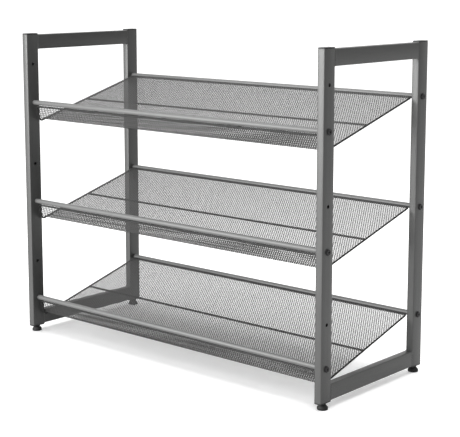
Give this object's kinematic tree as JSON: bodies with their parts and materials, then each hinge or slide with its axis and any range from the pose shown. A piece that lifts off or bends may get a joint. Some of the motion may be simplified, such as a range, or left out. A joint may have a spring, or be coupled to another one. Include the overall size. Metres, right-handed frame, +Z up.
{
  "type": "tiered shoe rack",
  "caption": "Grey steel shoe rack with stacked expanded-metal shelves that bolt level or sloping between two tube side frames on levelling feet.",
  "frame": {"origin": "on the floor under the middle of the rack, between the four levelling feet", "axes": "+X along the rack to its right end, +Y towards its back, +Z up; the shelf lips face -Y"},
  "size_m": [0.7882, 0.3186, 0.6349],
  "materials": {
    "grey_powder_coat": "gunmetal grey powder coat, fine texture, satin",
    "grey_bar_coat": "the same grey coat on round tube, a little glossier",
    "grey_wire_coat": "grey coat on wire",
    "grey_mesh_coat": "grey coat on expanded metal",
    "black_plastic": "moulded black plastic",
    "black_bolt_steel": "black coated bolt steel",
    "zinc_stud_steel": "bright zinc on threaded steel"
  },
  "bodies": {
    "frame": {"left_front_post": "grey_powder_coat", "left_front_top_cap": "black_plastic", "left_front_foot_socket": "black_plastic", "left_rear_post": "grey_powder_coat", "left_rear_top_cap": "black_plastic", "left_rear_foot_socket": "black_plastic", "left_top_rail": "grey_powder_coat", "left_bottom_rail": "grey_powder_coat", "right_front_post": "grey_powder_coat", "right_front_top_cap": "black_plastic", "right_front_foot_socket": "black_plastic", "right_rear_post": "grey_powder_coat", "right_rear_top_cap": "black_plastic", "right_rear_foot_socket": "black_plastic", "right_top_rail": "grey_powder_coat", "right_bottom_rail": "grey_powder_coat", "bottom_shelf_left_front_bolt": "black_bolt_steel", "bottom_shelf_left_rear_bolt": "black_bolt_steel", "bottom_shelf_right_front_bolt": "black_bolt_steel", "bottom_shelf_right_rear_bolt": "black_bolt_steel", "middle_shelf_left_front_bolt": "black_bolt_steel", "middle_shelf_left_rear_bolt": "black_bolt_steel", "middle_shelf_right_front_bolt": "black_bolt_steel", "middle_shelf_right_rear_bolt": "black_bolt_steel", "top_shelf_left_front_bolt": "black_bolt_steel", "top_shelf_left_rear_bolt": "black_bolt_steel", "top_shelf_right_front_bolt": "black_bolt_steel", "top_shelf_right_rear_bolt": "black_bolt_steel"},
    "bottom_shelf": {"bottom_shelf_front_bar": "grey_bar_coat", "bottom_shelf_rear_bar": "grey_bar_coat", "bottom_shelf_frame_wire": "grey_wire_coat", "bottom_shelf_cross_wire": "grey_wire_coat", "bottom_shelf_mesh_sheet": "grey_mesh_coat", "bottom_shelf_lip_tab_1": "grey_wire_coat", "bottom_shelf_lip_tab_2": "grey_wire_coat", "bottom_shelf_lip_tab_3": "grey_wire_coat"},
    "middle_shelf": {"middle_shelf_front_bar": "grey_bar_coat", "middle_shelf_rear_bar": "grey_bar_coat", "middle_shelf_frame_wire": "grey_wire_coat", "middle_shelf_cross_wire": "grey_wire_coat", "middle_shelf_mesh_sheet": "grey_mesh_coat", "middle_shelf_lip_tab_1": "grey_wire_coat", "middle_shelf_lip_tab_2": "grey_wire_coat", "middle_shelf_lip_tab_3": "grey_wire_coat"},
    "top_shelf": {"top_shelf_front_bar": "grey_bar_coat", "top_shelf_rear_bar": "grey_bar_coat", "top_shelf_frame_wire": "grey_wire_coat", "top_shelf_cross_wire": "grey_wire_coat", "top_shelf_mesh_sheet": "grey_mesh_coat", "top_shelf_lip_tab_1": "grey_wire_coat", "top_shelf_lip_tab_2": "grey_wire_coat", "top_shelf_lip_tab_3": "grey_wire_coat"},
    "left_front_foot": {"left_front_foot_pad": "black_plastic", "left_front_foot_stud": "zinc_stud_steel"},
    "left_rear_foot": {"left_rear_foot_pad": "black_plastic", "left_rear_foot_stud": "zinc_stud_steel"},
    "right_front_foot": {"right_front_foot_pad": "black_plastic", "right_front_foot_stud": "zinc_stud_steel"},
    "right_rear_foot": {"right_rear_foot_pad": "black_plastic", "right_rear_foot_stud": "zinc_stud_steel"}
  },
  "joints": [
    {"name": "bottom_shelf_tilt", "type": "hinge", "parent": "frame", "child": "bottom_shelf", "pos_m": [0, 0.1443, 0.114], "axis": [-1, 0, 0], "range_deg": [0, 15.7]},
    {"name": "middle_shelf_tilt", "type": "hinge", "parent": "frame", "child": "middle_shelf", "pos_m": [0, 0.1443, 0.3227], "axis": [-1, 0, 0], "range_deg": [0, 15.7]},
    {"name": "top_shelf_tilt", "type": "hinge", "parent": "frame", "child": "top_shelf", "pos_m": [0, 0.1443, 0.5314], "axis": [-1, 0, 0], "range_deg": [0, 15.7]},
    {"name": "left_front_foot_screw", "type": "slide", "parent": "frame", "child": "left_front_foot", "axis": [0, 0, -1], "range_m": [0, 0.01]},
    {"name": "left_rear_foot_screw", "type": "slide", "parent": "frame", "child": "left_rear_foot", "axis": [0, 0, -1], "range_m": [0, 0.01]},
    {"name": "right_front_foot_screw", "type": "slide", "parent": "frame", "child": "right_front_foot", "axis": [0, 0, -1], "range_m": [0, 0.01]},
    {"name": "right_rear_foot_screw", "type": "slide", "parent": "frame", "child": "right_rear_foot", "axis": [0, 0, -1], "range_m": [0, 0.01]}
  ]
}
